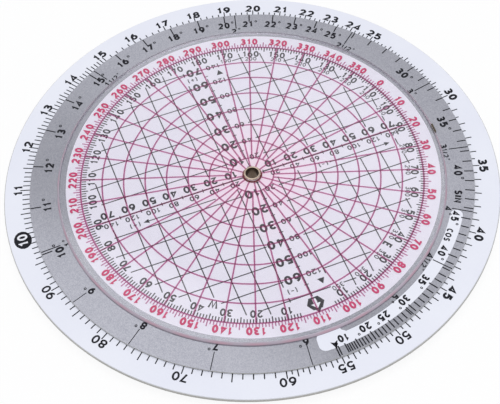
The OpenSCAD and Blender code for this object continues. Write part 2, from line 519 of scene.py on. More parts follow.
def merge(quads):
    """Points and triangles of the area that the quads cover together."""
    points = [Vector(p) for quad in quads for p in quad]
    faces = [tuple(range(4 * k, 4 * k + 4)) for k in range(len(quads))]
    verts, _, triangles, _, _, sources = delaunay_2d_cdt(points, [], faces, 1, MERGE_GAP)
    kept = [tuple(t) for t, source in zip(triangles, sources) if source]
    return [(v.x, v.y) for v in verts], kept


# %% [markdown]
# A glyph is needed many times at the same weight, so its shape is made once and kept. The ring of a degree
# sign is always fine.

# %% Shapes of the glyphs
GLYPH_GAP, DEGREE_GAP, DEGREE_STROKE = 0.14, 0.1, 0.1
glyph_shapes = {}


def glyph(letter, weight):
    """Points, triangles and width of a glyph one unit high with strokes of a weight."""
    if (letter, weight) not in glyph_shapes:
        width, strokes = GLYPHS[letter]
        bold = DEGREE_STROKE if letter == "°" else weight
        quads = []
        for stroke in strokes:
            line = [(bold / 2 + x * (width - bold), bold / 2 + y * (1 - bold)) for x, y in stroke]
            steps = side_steps(line, bold / 2)
            sides = [((x - sx, y - sy), (x + sx, y + sy)) for (x, y), (sx, sy) in zip(line, steps)]
            quads += [(a[0], b[0], b[1], a[1]) for a, b in zip(sides, sides[1:])]
        glyph_shapes[letter, weight] = *merge(quads), width
    return glyph_shapes[letter, weight]


print("a bold 8 has", len(glyph("8", 0.25)[1]), "triangles")

# %% [markdown]
# ## Ink
# A print is a collection of flat shapes of one ink on one face. When it is complete it is given its
# thickness: it stands a fiftieth of a millimetre proud of the face and is sunk half of that into it, so no
# gap can show. Print on the back of a disc is mirrored, because it is read from the other side.
# A screen is never laid quite true: on this rule the base print and the wind print sit a third of a
# millimetre off the pivot, so a print can be shifted as a whole.

# %% Print class
PROUD, SINK = 0.02, 0.01


def film_levels(face, proud, sink, mirror):
    """Lowest and highest level of an ink film on a face. A mirrored film lies on a face that looks down."""
    return (face - proud, face + sink) if mirror else (face - sink, face + proud)


class Print:
    """Flat shapes of one ink on one face of a disc."""

    def __init__(self, name, body, face, ink, proud=PROUD, mirror=False, shift=(0, 0)):
        self.name, self.body, self.ink, self.shift = name, body, ink, shift
        self.low, self.high = film_levels(face, proud, SINK, mirror)
        self.flip = -1 if mirror else 1
        self.points, self.faces = [], []

    def add(self, points, triangles, x=0, y=0, heading=0):
        """Adds a flat shape at x, y with its top towards the heading."""
        c, s = math.cos(math.radians(heading)), math.sin(math.radians(heading))
        x, y = x + self.shift[0], y + self.shift[1]
        placed = [(self.flip * (x + px * c + py * s), y - px * s + py * c) for px, py in points]
        first, count = len(self.points), len(placed)
        for z in (self.high, self.low):
            self.points += [(px, py, z) for px, py in placed]
        for t in triangles:
            self.faces.append([first + k for k in t])
            self.faces.append([first + count + k for k in reversed(t)])
        edges = dict.fromkeys(edge for t in triangles for edge in zip(t, (*t[1:], t[0])))
        for a, b in edges:
            if (b, a) not in edges:
                self.faces.append([first + b, first + a, first + count + a, first + count + b])

    def write(self, text, x, y, heading, height, weight, stretch=1.0):
        """Writes text with its top towards the heading and its figures centred. A degree ring hangs over."""
        shapes = [glyph(letter, weight) for letter in text]
        figures = [s[2] for s, letter in zip(shapes, text) if letter != "°"]
        pen = -(sum(figures) + GLYPH_GAP * (len(figures) - 1)) / 2
        for letter, (points, triangles, width) in zip(text, shapes):
            pen += DEGREE_GAP if letter == "°" else 0
            placed = [((pen + px) * height * stretch, (py - 0.5) * height) for px, py in points]
            self.add(placed, triangles, x, y, heading)
            pen += width + GLYPH_GAP

    def ring_text(self, text, turn, radius, height, weight, stretch=1.0):
        """Writes text with its top outward at an angle and radius."""
        self.write(text, *around(turn, radius), turn, height, weight, stretch)

    def cure(self):
        """Makes the collected shapes one closed mesh that rides on the body."""
        mesh = bpy.data.meshes.new(self.name)
        mesh.from_pydata([[c * MM for c in p] for p in self.points], [], self.faces)
        shape = bmesh.new()
        shape.from_mesh(mesh)
        loose = [v for v in shape.verts if not v.link_faces]
        bmesh.ops.delete(shape, geom=loose, context="VERTS")
        bmesh.ops.recalc_face_normals(shape, faces=shape.faces)
        shape.to_mesh(mesh)
        shape.free()
        mesh.materials.append(self.ink)
        piece = bpy.data.objects.new(self.name, mesh)
        bpy.context.scene.collection.objects.link(piece)
        print(f"{self.name}: {len(mesh.polygons)} faces")
        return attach(piece, self.body)


# %% [markdown]
# ## Ticks
# Ticks, grid lines and radials repeat by the hundred, so Geometry Nodes makes them. Each is one bar. A point
# carries where the bar starts, which way it heads, how long it is and how wide; the tree puts a unit bar on
# every point and stretches it. Like a shader group, a tree is made with its sockets first.

# %% Helpers for Geometry Nodes


def new_tree(name, inputs):
    """A Geometry Nodes tree with the named inputs, and its source and target sockets."""
    tree = bpy.data.node_groups.new(name, "GeometryNodeTree")
    tree.interface.new_socket("Geometry", in_out="INPUT", socket_type="NodeSocketGeometry")
    for label, kind in inputs:
        tree.interface.new_socket(label, in_out="INPUT", socket_type="NodeSocket" + kind)
    tree.interface.new_socket("Geometry", in_out="OUTPUT", socket_type="NodeSocketGeometry")
    return tree, tree.nodes.new("NodeGroupInput").outputs, tree.nodes.new("NodeGroupOutput").inputs


def attribute(tree, name):
    """The value of a named attribute of the points."""
    return add_node(tree, "GeometryNodeInputNamedAttribute", {"Name": name}).outputs["Attribute"]


def join_xyz(tree, x, y, z):
    """A vector from three sockets or numbers."""
    return add_node(tree, "ShaderNodeCombineXYZ", {"X": x, "Y": y, "Z": z}).outputs["Vector"]


# %% [markdown]
# The unit bar is a cube that is moved to start at its point, and its scale is the bar's width, length and
# thickness. The tree ends by realizing the instances, because an export drops them, and by giving the ink.

# %% Geometry Nodes tree for bars
bar_tree, bar_in, bar_out = new_tree("printed_bars", [("Thickness", "Float"), ("Ink", "Material")])
unit_bar = add_node(bar_tree, "GeometryNodeMeshCube").outputs["Mesh"]
start_at_zero = {"Geometry": unit_bar, "Translation": (0, 0.5, 0)}
bar_turn = {"Euler": join_xyz(bar_tree, 0, 0, attribute(bar_tree, "heading"))}
bar_w, bar_l = attribute(bar_tree, "stroke"), attribute(bar_tree, "reach")
bar_places = {
    "Points": bar_in["Geometry"],
    "Instance": add_node(bar_tree, "GeometryNodeTransform", start_at_zero).outputs["Geometry"],
    "Rotation": add_node(bar_tree, "FunctionNodeEulerToRotation", bar_turn).outputs["Rotation"],
    "Scale": join_xyz(bar_tree, bar_w, bar_l, bar_in["Thickness"]),
}
bars_placed = add_node(bar_tree, "GeometryNodeInstanceOnPoints", bar_places).outputs["Instances"]
bars_real = add_node(bar_tree, "GeometryNodeRealizeInstances", {"Geometry": bars_placed}).outputs["Geometry"]
bars_inked = add_node(bar_tree, "GeometryNodeSetMaterial", {"Geometry": bars_real, "Material": bar_in["Ink"]})
feed(bar_tree, bar_out["Geometry"], bars_inked.outputs["Geometry"])
print("tree:", bar_tree.name)

# %% [markdown]
# Running a tree means giving an object the modifier, setting its inputs by their identifiers, and keeping
# the evaluated result as a plain mesh without the modifier.

# %% Run a tree and keep its mesh


def grow(name, body, mesh, tree, **values):
    """Runs a tree on a mesh and keeps the result as a plain piece that rides on the body."""
    piece = bpy.data.objects.new(name, mesh)
    bpy.context.scene.collection.objects.link(piece)
    modifier = piece.modifiers.new("tree", "NODES")
    modifier.node_group = tree
    for item in tree.interface.items_tree:
        if item.in_out == "INPUT" and item.name in values:
            modifier[item.identifier] = values[item.name]
    graph = bpy.context.evaluated_depsgraph_get()
    result = bpy.data.meshes.new_from_object(piece.evaluated_get(graph))
    piece.modifiers.clear()
    piece.data = result
    result.name = name
    print(f"{name}: {len(result.polygons)} faces")
    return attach(piece, body)


# %% [markdown]
# A bar is written as five numbers: its start, its heading, its length and its stroke. A list of bars becomes
# a mesh of loose points that carry these numbers as attributes, and the tree runs on that mesh.

# %% Lay bars on a disc


def radial_bar(turn, inner, outer, stroke):
    """A bar along a radius: start, heading, length and stroke."""
    return (*around(turn, inner), turn, outer - inner, stroke)


def lay_bars(name, body, bars, face, ink, proud=PROUD, sink=SINK, mirror=False, shift=(0, 0)):
    """Prints bars on a face of a disc."""
    low, high = film_levels(face, proud, sink, mirror)
    flip, middle = -1 if mirror else 1, (low + high) / 2 * MM
    mesh = bpy.data.meshes.new(name + "_points")
    starts = [(flip * (x + shift[0]) * MM, (y + shift[1]) * MM, middle) for x, y, *_ in bars]
    mesh.from_pydata(starts, [], [])
    for label, numbers in (
        ("heading", [-flip * math.radians(bar[2]) for bar in bars]),
        ("reach", [bar[3] * MM for bar in bars]),
        ("stroke", [bar[4] * MM for bar in bars]),
    ):
        mesh.attributes.new(label, "FLOAT", "POINT").data.foreach_set("value", numbers)
    return grow(name, body, mesh, bar_tree, Thickness=(high - low) * MM, Ink=ink)


# %% [markdown]
# ## The base disc's scale
# The white base shows a ring of one logarithmic decade. Fine ticks fill the roomy start of the decade and
# get sparser towards its end. Whole steps stand out by their length. The numbers stand with their tops
# outward. The front and the back have the same scale, so functions make it.

# %% Log scale shared by front and back
tick_w = 0.34
# Each stretch has its first and last value, its step, and the lengths of plain, half and whole ticks.
log_stretches = (
    (10, 15, 0.1, 2.2, 2.95, 2.95),
    (15, 25, 0.2, 1.45, 1.45, 2.3),
    (25, 30, 0.2, 1.15, 1.15, 2.1),
    (30, 60, 0.5, 1.35, 1.35, 2.3),
    (60, 100, 1, 1.85, 2.8, 2.5),
)
log_labels = [*range(11, 26), 30, 35, 40, 45, 50, 55, 60, 70, 80, 90]


def is_multiple(value, unit):
    """True if a value is a whole number of units."""
    return abs(value / unit - round(value / unit)) < 0.01


def log_ticks(inner, outward=1):
    """Bars of a one-decade scale that starts at a radius and grows outward or inward."""
    bars = []
    for first, last, step, plain, half, whole in log_stretches:
        unit = 10 if step == 1 else 1
        for k in range(round((last - first) / step)):
            value = first + k * step
            size = whole if is_multiple(value, unit) else half if is_multiple(value, unit / 2) else plain
            ends = sorted((inner, inner + outward * size))
            bars.append(radial_bar(log_turn(value), *ends, tick_w))
    return bars


def log_numbers(ink_print, radius, height, dip=0):
    """Numbers of a one-decade scale. Those over the short ticks may dip towards them."""
    for value in log_labels:
        weight = 0.235 if value < 26 else 0.25 if value < 50 else 0.19
        stretch = 1.14 if value < 36 else 1.07
        place = radius - dip * (16 <= value <= 25)
        ink_print.ring_text(str(value), log_turn(value), place, height, weight, stretch)


# %% [markdown]
# The decade starts in a black oval badge with white digits. White ink is printed over the black, so it
# stands a little prouder. The ticks start just under the wind disc's rim, which leaves no gap beside it.

# %% Base scale
base_shift, tick_overlap, overprint = (0.3, 0.04), 0.02, 0.03
number_r, number_h, number_dip = 71.75, 2.88, 0.35
badge_r, badge_half_w, badge_half_h = number_r + 0.2, 3.18, 2.66


def badge(ink_print, radius, half_w, half_h):
    """A filled oval at the index. Its arc stops short of a full turn, and the last triangle closes it."""
    points = [(0, 0)] + arc(0, 0, half_w, half_h, 0, 352)
    count = len(points) - 1
    ink_print.add(points, [(0, 1 + k, 1 + (k + 1) % count) for k in range(count)], *around(0, radius), 0)


base_ticks = log_ticks(wind_r - tick_overlap)
lay_bars("base_scale_ticks", "base", base_ticks, base_front, black_ink, shift=base_shift)
base_numbers = Print("base_scale_numbers", "base", base_front, black_ink, shift=base_shift)
log_numbers(base_numbers, number_r, number_h, number_dip)
badge(base_numbers, badge_r, badge_half_w, badge_half_h)
base_numbers.cure()
index_digits = Print("base_index_digits", "base", base_front, white_ink, proud=overprint, shift=base_shift)
index_digits.ring_text("10", 0, badge_r, 3.1, 0.2)
index_digits.cure()

# %% [markdown]
# ## The wind disc's silver ring
# The ring is printed over the white sheet, and a curved window with a tab is left unprinted in it. The edges
# of ring and window are given as loops of points. Triangles between the loops are kept where a point is
# inside an odd number of them.

# %% Fill between loops


def inside(x, y, loop):
    """True if a point lies in a loop."""
    odd = False
    for (x0, y0), (x1, y1) in zip(loop, loop[1:] + loop[:1]):
        if (y0 > y) != (y1 > y) and x < x0 + (y - y0) * (x1 - x0) / (y1 - y0):
            odd = not odd
    return odd


def fill(loops):
    """Points and triangles of the area inside an odd number of loops."""
    points, edges = [], []
    for loop in loops:
        first, count = len(points), len(loop)
        points += [Vector(p) for p in loop]
        edges += [(first + k, first + (k + 1) % count) for k in range(count)]
    verts, _, triangles, *_ = delaunay_2d_cdt(points, edges, [], 0, MERGE_GAP)
    kept = []
    for t in triangles:
        x, y = (sum(verts[k][axis] for k in t) / 3 for axis in (0, 1))
        if sum(inside(x, y, loop) for loop in loops) % 2:
            kept.append(tuple(t))
    return [(v.x, v.y) for v in verts], kept


# %% [markdown]
# The window runs from 45 degrees of the cosine scale to just past the index arrow. It is drawn as angles and
# radii about the pivot, because its long sides are arcs there. Its corners are rounds, each about a centre
# that is set back from the window's ends.

# %% Outline of the window
window_low, window_high, tab_low = 61.3, 65.1, 59.2
window_start, tab_start, window_end = -56.0, -3.3, 4.1
round_end, tab_round, foot_round = (window_high - window_low) / 2, 2.0, 1.1
start_back, top_back, tip_back, foot_back = 1.7, 1.8, 1.9, 1.0
corner_steps = 6


def polar_corner(turn, radius, size, start, end):
    """Angles and radii along a round corner about a centre."""
    scale = math.degrees(1 / radius)
    steps = [math.radians(start + (end - start) * k / corner_steps) for k in range(corner_steps + 1)]
    return [(turn + size * math.cos(t) * scale, radius + size * math.sin(t)) for t in steps]


long_start = window_start + start_back
edge = polar_corner(long_start, window_low + round_end, round_end, 270, 90)
edge += [(long_start + k, window_high) for k in range(1, round(window_end - window_start) - 3)]
edge += polar_corner(window_end - top_back, window_high - tab_round, tab_round, 90, 0)
edge += polar_corner(window_end - tip_back, tab_low + tab_round, tab_round, 0, -90)
edge += polar_corner(tab_start + foot_back, tab_low + foot_round, foot_round, 270, 180)
edge += [(tab_start - k, window_low) for k in range(1, round(tab_start - window_start) - 1)]
window_loop = [around(wind_turn + turn, radius) for turn, radius in edge]
print("window outline:", len(window_loop), "points")

# %% [markdown]
# The silver film is thinner than the black one that is printed over it. Its outer edge follows the disc, and
# its inner edge and the window follow the screen, which lies a little off the pivot.

# %% Silver ring
wind_shift, silver_film = (0, -0.38), 0.012
ring_inner, ring_margin = 57.6, 0.06


def circle(radius, count):
    """A loop of points round the middle."""
    return [around(360 * k / count, radius) for k in range(count)]


def on_screen(loop):
    """A loop moved with the wind print's screen."""
    return [(x + wind_shift[0], y + wind_shift[1]) for x, y in loop]


silver = Print("wind_silver_ring", "wind", wind_front, silver_ink, proud=silver_film)
ring_outer = circle(wind_r - ring_margin, 300)
silver.add(*fill([ring_outer, on_screen(circle(ring_inner, 260)), on_screen(window_loop)]))
silver_ring = silver.cure()

# %% [markdown]
# Sine ticks run inward from the rim. From 10 to 44 degrees there is one for each degree, and 45 shares the
# cosine's tick. Below 10 degrees the marks are long lines, and those under 6 degrees come from the next
# decade of the same law. On this rule the sine marks also slip a little on their screen.

# %% Sine ticks
rim_margin, rim_tick_w, long_tick_w = 0.15, 0.4, 0.25
sine_slip, sine_lag, late_lag = (0.4, -0.15), 0.19, 0.54
small_angles = [1, 1.5, 2, 2.5, 3, 3.5, 4, 4.5, 5]


def screen_step(turn, slip):
    """How far outward the shifted screen and a slip move a mark at an angle."""
    x, y = around(wind_turn + turn, 1)
    return x * (wind_shift[0] + slip[0]) + y * (wind_shift[1] + slip[1])


def rim_bar(turn, inner, stroke, short=0, slip=(0, 0)):
    """A bar that ends by the rim of the wind disc or short of it. It may slip a little on the screen."""
    outer = wind_r - rim_margin - short - screen_step(turn, slip)
    start_x, start_y, *rest = radial_bar(wind_turn + turn, inner, outer, stroke)
    return (start_x + slip[0], start_y + slip[1], *rest)


def sine_bar(angle, inner, stroke, lag=sine_lag):
    """A sine mark from the rim to an inner radius."""
    turn = sine_turn(angle) + lag
    return rim_bar(turn, inner - screen_step(turn, sine_slip), stroke, slip=sine_slip)


wind_bars = []
for angle in range(10, 45):
    inner = 64.95 if angle < 25 else 65.6 if angle < 36 else 65.3
    wind_bars.append(sine_bar(angle, inner, rim_tick_w))
for angle, inner in ((6, 61.26), (7, 62.2), (8, 62.44), (9, 63.36)):
    wind_bars.append(sine_bar(angle, inner, long_tick_w))
for angle in small_angles:
    inner = 62.1 if angle < 4 else 61.8 if angle < 5 else 65.0
    wind_bars.append(sine_bar(angle, inner, tick_w, sine_lag if angle < 4 else late_lag))
print("sine ticks:", len(wind_bars))

# %% [markdown]
# The cosine ticks stand on the silver strip outside the window. Every fifth one reaches into the window, and
# all but the index stop a little short of the rim. They lag more and more towards 45 degrees.

# %% Cosine ticks
cosine_angles = [0, 5, *range(10, 46)]
cosine_lag, lag_start, lag_growth, cosine_short = 0.15, 25, 0.015, 0.3
for angle in cosine_angles:
    inner = window_high + (-0.4 if angle % 5 == 0 else 0.1)
    turn = cosine_turn(angle) + (cosine_lag + lag_growth * max(0, angle - lag_start))
    wind_bars.append(rim_bar(turn, inner, rim_tick_w, cosine_short * (angle > 0)))
print("cosine ticks:", len(cosine_angles))

# %% [markdown]
# The labels stand in silver and in the window. Figures stand by their tick, and the degree ring hangs behind
# them. Sine labels slip on the screen with their ticks. Where the scale is crowded the figures are narrower.

# %% Sine labels
label_slip, label_weight, long_label_weight = 0.5, 0.25, 0.23
sine_label_r, sine_label_h, long_label_h = 63.25, 2.75, 2.55
sine_aside, first_aside = 0.12, 1.2
wind_text = Print("wind_numbers", "wind", wind_front, wind_ink, shift=wind_shift)


def sine_label(text, turn, radius, height, weight, stretch):
    """A label of the sine scale, slipped on the screen as its ticks are."""
    x, y = around(wind_turn + turn, radius)
    wind_text.write(text, x + label_slip, y, wind_turn + turn, height, weight, stretch)


for angle in [*range(10, 26), 30, 35, 40]:
    at = sine_turn(angle) - (first_aside if angle == 10 else sine_aside)
    crowded = 20 <= angle <= 25 or angle == 40
    sine_label(f"{angle}°", at, sine_label_r, sine_label_h, label_weight, 0.92 if crowded else 1.03)
for angle, radius in ((9, 62.07), (8, 61.3), (7, 60.75), (6, 60.5)):
    at = wind_turn + sine_turn(angle)
    wind_text.ring_text(f"{angle}°", at, radius, long_label_h, long_label_weight, 0.98)
print("points of the sine labels:", len(wind_text.points))

# %% [markdown]
# The smallest angles go in half degrees, with a smaller fraction beside the figure. From 4 degrees up the
# labels of the real rule stand a little further along and further out.

# %% Labels of the small angles
small_h, small_weight, small_stretch, small_back = 2.2, 0.24, 1.1, 0.3
half_h, half_weight, half_back, half_ahead = 1.7, 0.21, 0.98, 1.65
small_asides, usual_aside = {4: 1.15, 4.5: 0.7, 5: 0.4}, -0.1
for angle in small_angles:
    at = sine_turn(angle) + small_asides.get(angle, usual_aside)
    radius = 60.65 if angle >= 4 else 60.35
    if angle % 1:
        sine_label(f"{int(angle)}", at - half_back, radius, small_h, small_weight, small_stretch)
        sine_label("1/2°", at + half_ahead, radius, half_h, half_weight, small_stretch)
    else:
        sine_label(f"{angle}°", at - small_back, radius, small_h, small_weight, small_stretch)
print("labels of small angles:", len(small_angles))

# %% [markdown]
# The cosine labels stand in the window. The names of the two functions mark the scales, and an arrow stands
# at the index in the window's tab.

# %% Cosine labels, names and index arrow
cosine_asides = {45: 0.4, 40: 0, 35: 0.3, 30: 0, 25: 0.2, 20: 0.5, 10: -0.25}
cosine_label_r, cosine_label_h, index_arrow_r = 62.9, 2.45, 63.7
sine_name_turn, cosine_name_turn = wind_turn - 60.5, wind_turn - 47.15
for angle, aside in cosine_asides.items():
    at = wind_turn + cosine_turn(angle) + aside
    wind_text.ring_text(f"{angle}°", at, cosine_label_r, cosine_label_h, label_weight, 0.95)
wind_text.ring_text("SIN", sine_name_turn, cosine_label_r, cosine_label_h, label_weight, 1.08)
wind_text.ring_text("COS", cosine_name_turn, 62.5, 1.95, long_label_weight, 0.98)
index_arrow = [(0, 1.8), (1.1, -0.8), (0, -0.25), (-1.1, -0.8)]
wind_text.add(index_arrow, [(0, 2, 1), (0, 3, 2)], *around(wind_turn, index_arrow_r), wind_turn)
print("cosine labels:", len(cosine_asides))

# %% [markdown]
# ## The wind disc's middle
# The white middle lies under the clear disc and shows through it. Its print is laid out with the pointer up
# and turned with the disc. Grid lines will keep clear of the figures, so each label also notes the room that
# it takes.

# %% Places on the wind disc
keep_clear = []
compass_stretch, upright_stretch = 0.95, 1.06


def upright(x, y):
    """A place on the wind disc, with y towards its pointer."""
    c, s = math.cos(math.radians(wind_turn)), math.sin(math.radians(wind_turn))
    return x * c + y * s, y * c - x * s


def grid_bar(x, y, heading, reach, stroke):
    """A bar on the wind disc from x, y along a heading that is counted from the pointer."""
    return (*upright(x, y), wind_turn + heading, reach, stroke)


def compass_label(text, turn, radius, height, weight, room):
    """A label on the compass, with its top outward, that keeps grid lines off a square around it."""
    wind_text.ring_text(text, wind_turn + turn, radius, height, weight, compass_stretch)
    keep_clear.append((*around(turn, radius), room, room))


def upright_label(text, x, y, height, weight, room_w, room_h):
    """A label that stands upright when the pointer is up."""
    wind_text.write(text, *upright(x, y), wind_turn, height, weight, upright_stretch)
    keep_clear.append((x, y, room_w, room_h))


# %% [markdown]
# A black compass runs round the pointer: degrees count up on both sides of it, and on the left a second,
# smaller row counts the full circle. Its ticks leave room for the pointer.

# %% Compass of the wind disc
compass_r, compass_tick_l, fifth_extra, compass_tick_w = 51.4, 1.4, 0.6, 0.36
figure_r, figure_h, figure_weight, figure_room = 49.7, 2.55, 0.21, 2.1
inner_row_r, inner_row_h, inner_row_weight, inner_row_room = 47.6, 1.65, 0.17, 1.9
letter_turn, letter_r = 35, 47.7
for degree in range(6, 355):
    inner = compass_r - (fifth_extra if degree % 5 == 0 else 0)
    wind_bars.append(radial_bar(wind_turn + degree, inner, compass_r + compass_tick_l, compass_tick_w))
for degree in range(10, 171, 10):
    compass_label(str(degree), degree, figure_r, figure_h, figure_weight, figure_room)
    compass_label(str(degree), -degree, figure_r, figure_h, figure_weight, figure_room)
    compass_label(str(360 - degree), -degree, inner_row_r, inner_row_h, inner_row_weight, inner_row_room)
compass_label("180", 180, figure_r, figure_h, figure_weight, 2.4)
compass_label("E", -letter_turn, letter_r, 2.9, 0.2, 1.9)
compass_label("W", letter_turn, letter_r, 3.0, 0.19, 2.0)
print("compass labels:", len(keep_clear))

# %% [markdown]
# The pointer is a black six-sided badge with a tip that touches the rose. A plain white arrow stands in it.

# %% Pointer badge


def fan(points):
    """Triangles of an outline, all from its first point."""
    return [(0, k, k + 1) for k in range(1, len(points) - 1)]


pointer = [(-1.45, -2.1), (1.45, -2.1), (2.7, 0), (1.4, 2.05), (0.9, 2.05), (0, 3.25)]
pointer += [(-0.9, 2.05), (-1.4, 2.05), (-2.7, 0)]
wind_text.add(pointer, fan(pointer), *around(wind_turn, figure_r), wind_turn)
keep_clear.append((0, figure_r, 3.2, 2.4))
arrow_up = [(0, 1.8), (-1.5, 0.1), (-0.55, 0.1), (-0.55, -1.55), (0.55, -1.55), (0.55, 0.1), (1.5, 0.1)]
arrow_triangles = [(0, 1, 6), (2, 3, 4), (2, 4, 5)]
pointer_arrow = Print("wind_pointer_arrow", "wind", wind_front, white_ink, proud=overprint, shift=wind_shift)
pointer_arrow.add(arrow_up, arrow_triangles, *around(wind_turn, figure_r), wind_turn)
pointer_arrow.cure()

# %% [markdown]
# Two heavier axes cross at the pivot. Bold figures count knots in tens beside them, small figures count
# twice that. The pointer takes the place of the last figures on its axis.

# %% Axis figures
grid_step, axis_steps = 6.605, 7
bold, fine, three_digit_step = 0.22, 0.19, 0.6
# Each row of figures stands beside its axis, with a height and the room that it takes.
right_x, right_h, right_room = 3.0, 3.15, (2.9, 1.7)
left_x, left_h, left_room = -2.9, 1.95, (2.9, 1.2)
below_y, below_h, below_room = -2.25, 2.65, (2.7, 1.8)
above_y, above_h, above_room = 1.6, 1.85, (2.6, 1.9)
for step in range(1, axis_steps + 1):
    knots, twice = str(step * 10), str(step * 20)
    twice_x = left_x - three_digit_step * (len(twice) > 2)
    for at in (step * grid_step, -step * grid_step):
        if step < axis_steps or at < 0:
            upright_label(knots, right_x, at, right_h, bold, *right_room)
            upright_label(twice, twice_x, at, left_h, fine, *left_room)
        upright_label(knots, at, below_y, below_h, bold, *below_room)
        upright_label(twice, at, above_y, above_h, fine, *above_room)
print("labels in the middle:", len(keep_clear))

# %% [markdown]
# Plain arrows with signs show which way a wind component counts.

# %% Wind arrows
head_l, head_half_w, bar_overlap, arrow_bar_w, arrow_y = 1.7, 0.75, 0.2, 0.32, 4.4
sign_h, sign_weight, sign_room = 2.0, 0.15, (2.4, 2.0)


def wide_arrow(tail, tip, y):
    """An arrow along x when the pointer is up: a bar and a filled head."""
    way, reach = 1 if tip > tail else -1, abs(tip - tail)
    head = [(tip, y), (tip - way * head_l, y + head_half_w), (tip - way * head_l, y - head_half_w)]
    wind_text.add([upright(*p) for p in head], [(0, 1, 2)] if way < 0 else [(0, 2, 1)])
    wind_bars.append(grid_bar(tail, y, 90 * way, reach - head_l + bar_overlap, arrow_bar_w))
    keep_clear.append(((tail + tip) / 2, y, reach / 2 + 1.5, 2.0))


wide_arrow(-23.6, -44.0, arrow_y)
upright_label("(-)", -21.5, arrow_y, sign_h, sign_weight, *sign_room)
wide_arrow(14.0, 37.0, arrow_y)
upright_label("(+)", 39.6, arrow_y, sign_h, sign_weight, *sign_room)
for text, y, way in (("(-)", 43.4, 1), ("(+)", -43.2, -1)):
    upright_label(text, 4.6, y, sign_h, sign_weight, 4.2, 1.8)
    head = [(-4.6, y + way), (-5.7, y - way), (-3.5, y - way)]
    wind_text.add([upright(*p) for p in head], [(0, 1, 2)])
    keep_clear.append((-4.0, y, 3.8, 1.8))
wind_text.cure()

# %% [markdown]
# The wind grid is square, one line for every 10 knots. Each line is walked in small steps, and only the
# stretches that stay inside the compass and clear of all labels are printed.

# %% Printable stretches of the grid
grid_r, walk_step, walk_count, shortest = 50.2, 0.2, 255, 0.9


def is_free(x, y):
    """True where a grid line may be printed."""
    labelled = any(abs(x - u) <= w and abs(y - v) <= h for u, v, w, h in keep_clear)
    return math.hypot(x, y) < grid_r and not labelled


def free_stretches(offset, along_x):
    """Start and end of the printable stretches of one grid line."""
    stretches, start = [], None
    for k in range(-walk_count, walk_count + 2):
        t = k * walk_step
        free = is_free(t, offset) if along_x else is_free(offset, t)
        if free and start is None:
            start = t
        if not free and start is not None:
            stretches.append((start, t - walk_step))
            start = None
    return [s for s in stretches if s[1] - s[0] > shortest]


# %% [markdown]
# The axes start clear of the eyelet, and each has its own length and weight. Short ticks halve their steps.

# %% Wind grid
grid_w, axis_start, half_tick_w, half_tick_back, half_tick_l = 0.34, 2.9, 0.3, 0.6, 1.3
for line in [k for k in range(-axis_steps, axis_steps + 1) if k]:
    for low, high in free_stretches(line * grid_step, False):
        wind_bars.append(grid_bar(line * grid_step, low, 0, high - low, grid_w))
    for low, high in free_stretches(line * grid_step, True):
        wind_bars.append(grid_bar(low, line * grid_step, 90, high - low, grid_w))
for heading, end, stroke in ((0, 47.2, 0.4), (90, 48.6, 0.5), (180, 41.8, 0.26), (270, 48.6, 0.5)):
    wind_bars.append(grid_bar(*around(heading, axis_start), heading, end - axis_start, stroke))
for step in range(1, 2 * axis_steps, 2):
    at, back = step * grid_step / 2, -half_tick_back
    for x, y, heading in ((back, at, 90), (back, -at, 90), (at, back, 0), (-at, back, 0)):
        wind_bars.append(grid_bar(x, y, heading, half_tick_l, half_tick_w))
lay_bars("wind_bars", "wind", wind_bars, wind_front, wind_ink, shift=wind_shift)

# %% [markdown]
# ## The red rose
# The rose is printed in red on the underside of the clear disc, so that no shadow or parallax comes between
# it and the grid. Rings follow one rule, so a second tree makes them: circles scaled by their number and
# swept with a flat profile. They are realized before the sweep, which keeps their stroke from being scaled.

# %% Geometry Nodes tree for rings
ring_inputs = [("Count", "Int"), ("Step", "Float"), ("Stroke", "Float"), ("Thickness", "Float")]
ring_inputs += [("Height", "Float"), ("Ink", "Material")]
ring_tree, ring_in, ring_out = new_tree("range_rings", ring_inputs)
ring_points = add_node(ring_tree, "GeometryNodeMeshLine", {"Count": ring_in["Count"], "Offset": (0, 0, 0)})
unit_circle = add_node(ring_tree, "GeometryNodeCurvePrimitiveCircle", {"Radius": 1, "Resolution": 144})
ring_index = add_node(ring_tree, "GeometryNodeInputIndex").outputs["Index"]
ring_number = calculate(ring_tree, "ADD", ring_index, 1)
ring_places = {
    "Points": ring_points.outputs["Mesh"],
    "Instance": unit_circle.outputs["Curve"],
    "Scale": calculate(ring_tree, "MULTIPLY", ring_number, ring_in["Step"]),
}
rings_placed = add_node(ring_tree, "GeometryNodeInstanceOnPoints", ring_places).outputs["Instances"]
rings_real = add_node(ring_tree, "GeometryNodeRealizeInstances", {"Geometry": rings_placed})
rings_level = add_node(
    ring_tree, "GeometryNodeSetCurveNormal", {"Curve": rings_real.outputs["Geometry"]}, mode="Z_UP"
)
flat_profile = {"Width": ring_in["Stroke"], "Height": ring_in["Thickness"]}
ring_profile = add_node(ring_tree, "GeometryNodeCurvePrimitiveQuadrilateral", flat_profile)
sweep_inputs = {"Curve": rings_level.outputs["Curve"], "Profile Curve": ring_profile.outputs["Curve"]}
rings_swept = add_node(ring_tree, "GeometryNodeCurveToMesh", sweep_inputs).outputs["Mesh"]
lift_inputs = {"Geometry": rings_swept, "Translation": join_xyz(ring_tree, 0, 0, ring_in["Height"])}
rings_lifted = add_node(ring_tree, "GeometryNodeTransform", lift_inputs).outputs["Geometry"]
ink_inputs = {"Geometry": rings_lifted, "Material": ring_in["Ink"]}
rings_inked = add_node(ring_tree, "GeometryNodeSetMaterial", ink_inputs).outputs["Geometry"]
feed(ring_tree, ring_out["Geometry"], rings_inked)
print("tree:", ring_tree.name)

